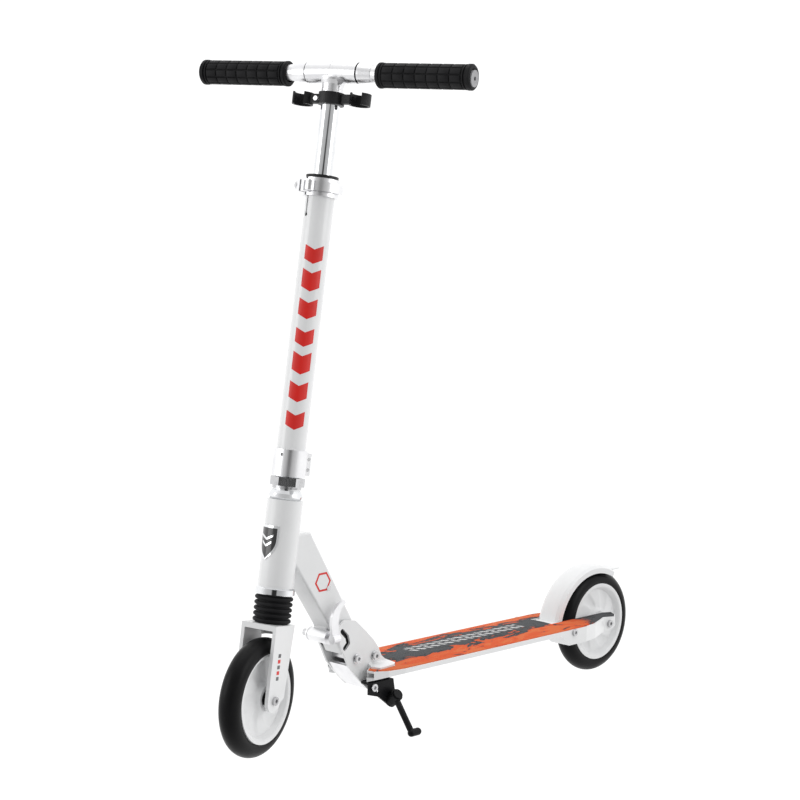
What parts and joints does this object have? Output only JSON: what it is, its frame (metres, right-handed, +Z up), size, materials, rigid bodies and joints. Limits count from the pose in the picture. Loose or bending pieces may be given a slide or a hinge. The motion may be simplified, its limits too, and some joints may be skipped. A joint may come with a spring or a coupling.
{
  "type": "kick scooter",
  "caption": "Folding two-wheel kick scooter with sprung fork, telescopic steering column, pull-out handlebar grips, foot-brake fender and side stand.",
  "frame": {"origin": "on the floor, under the middle of the parked scooter's box", "axes": "+X the way the scooter rides, +Y to the rider's left, +Z up; parked leaning 3 degrees onto its stand, bars turned 17 degrees left"},
  "size_m": [0.9763, 0.454, 1.0505],
  "materials": {
    "white_paint": "semi-gloss",
    "tape": "gritty",
    "dark_steel": "satin",
    "steel": "brushed",
    "zinc": "zinc plated",
    "chrome": "polished",
    "alloy": "satin",
    "rubber": "matte",
    "tyre": "matte",
    "black_plastic": "matte",
    "grey_plastic": "matte",
    "white_plastic": "satin",
    "badge": "gloss",
    "cord": "woven"
  },
  "bodies": {
    "deck_frame": {"deck": "white_paint", "grip_tape": "tape", "fold_bracket": "white_paint", "latch_plates": "dark_steel", "nose_plate": "alloy", "bracket_bolts": "zinc", "stand_bracket": "dark_steel", "stand_pin": "dark_steel", "stand_bolt": "zinc", "fender_pin": "zinc", "rear_axle": "zinc", "rear_spacers": "dark_steel"},
    "rear_wheel": {"rear_tyre": "tyre", "rear_rim": "white_plastic", "rear_bearings": "zinc"},
    "stand": {"kickstand": "dark_steel"},
    "fender": {"rear_fender": "white_plastic"},
    "neck_frame": {"neck": "white_paint", "fold_barrel": "alloy", "fold_skewer": "zinc", "headset_cups": "chrome", "headset_bearings": "zinc", "head_badge": "badge"},
    "latch_lever": {"fold_lever": "alloy"},
    "steering": {"steerer_tube": "steel", "suspension_spring": "steel", "bellows": "rubber", "bearing_cone": "chrome", "lock_washer": "zinc", "lock_nut": "zinc", "clamp_collar": "alloy", "collar_screws": "zinc", "column": "white_paint", "column_bush": "black_plastic", "height_clamp": "alloy", "clamp_skewer": "zinc"},
    "fork_body": {"fork": "white_paint", "front_axle": "zinc", "front_spacers": "dark_steel"},
    "front_wheel": {"front_tyre": "tyre", "front_rim": "white_plastic", "front_bearings": "zinc"},
    "clamp_lever": {"height_lever": "alloy"},
    "riser": {"inner_tube": "chrome", "tee": "alloy", "grip_clip": "black_plastic", "clip_screw": "zinc", "elastic_cord": "cord"},
    "left_bar": {"bar_left": "alloy", "grip_left": "rubber", "end_plug_left": "grey_plastic", "ferrule_left": "alloy", "bar_ring_left": "black_plastic"},
    "right_bar": {"bar_right": "alloy", "grip_right": "rubber", "end_plug_right": "grey_plastic", "ferrule_right": "alloy", "bar_ring_right": "black_plastic"},
    "left_button": {"button_left": "grey_plastic"},
    "right_button": {"button_right": "grey_plastic"}
  },
  "joints": [
    {"name": "fold", "type": "hinge", "parent": "deck_frame", "child": "neck_frame", "pos_m": [0.17782, -0.04664, 0.12149], "axis": [0, -0.9986, 0.0523], "range_deg": [0, 82]},
    {"name": "latch_lever_swing", "type": "hinge", "parent": "neck_frame", "child": "latch_lever", "pos_m": [0.27082, -0.01072, 0.16117], "axis": [-1, 0, 0], "range_deg": [0, 100]},
    {"name": "steer", "type": "hinge", "parent": "neck_frame", "child": "steering", "pos_m": [0.34371, -0.03286, 0.38438], "axis": [-0.1409, 0.0518, 0.9887], "range_deg": [-76.6, 43.4]},
    {"name": "suspension", "type": "slide", "parent": "steering", "child": "fork_body", "axis": [-0.1409, 0.0518, 0.9887], "range_m": [0, 0.012], "stiffness_N_per_m": 9000, "springref_m": -0.013, "deforming": ["suspension_spring", "bellows"]},
    {"name": "front_wheel_spin", "type": "hinge", "parent": "fork_body", "child": "front_wheel", "pos_m": [0.40116, -0.04373, 0.0897], "axis": [-0.2828, 0.9549, -0.0904], "continuous": true},
    {"name": "rear_wheel_spin", "type": "hinge", "parent": "deck_frame", "child": "rear_wheel", "pos_m": [-0.39818, -0.04829, 0.09003], "axis": [0, 0.9986, -0.0523], "continuous": true},
    {"name": "stand_swing", "type": "hinge", "parent": "deck_frame", "child": "stand", "pos_m": [0.16182, 0.00701, 0.05609], "axis": [0, 0.7771, 0.6294], "range_deg": [0, 85]},
    {"name": "fender_press", "type": "hinge", "parent": "deck_frame", "child": "fender", "pos_m": [-0.27018, -0.04792, 0.09703], "axis": [0, -0.9986, 0.0523], "range_deg": [0, 2], "stiffness_Nm_per_rad": 20, "springref_deg": -5.73},
    {"name": "clamp_lever_swing", "type": "hinge", "parent": "steering", "child": "clamp_lever", "pos_m": [0.31211, 0.00289, 0.84682], "axis": [0.1409, -0.0518, -0.9887], "range_deg": [0, 110]},
    {"name": "height_slide", "type": "slide", "parent": "steering", "child": "riser", "axis": [-0.1409, 0.0518, 0.9887], "range_m": [-0.1, 0.09]},
    {"name": "left_bar_pull", "type": "slide", "parent": "riser", "child": "left_bar", "axis": [-0.2793, 0.9534, -0.1145], "range_m": [0, 0.035]},
    {"name": "left_button_press", "type": "slide", "parent": "riser", "child": "left_button", "axis": [-0.7231, -0.1304, 0.6784], "range_m": [0, 0.0035], "stiffness_N_per_m": 400, "springref_m": -0.004},
    {"name": "right_bar_pull", "type": "slide", "parent": "riser", "child": "right_bar", "axis": [0.2862, -0.9559, 0.0662], "range_m": [0, 0.035]},
    {"name": "right_button_press", "type": "slide", "parent": "riser", "child": "right_button", "axis": [0.5072, 0.2097, 0.8359], "range_m": [0, 0.0035], "stiffness_N_per_m": 400, "springref_m": -0.004}
  ]
}
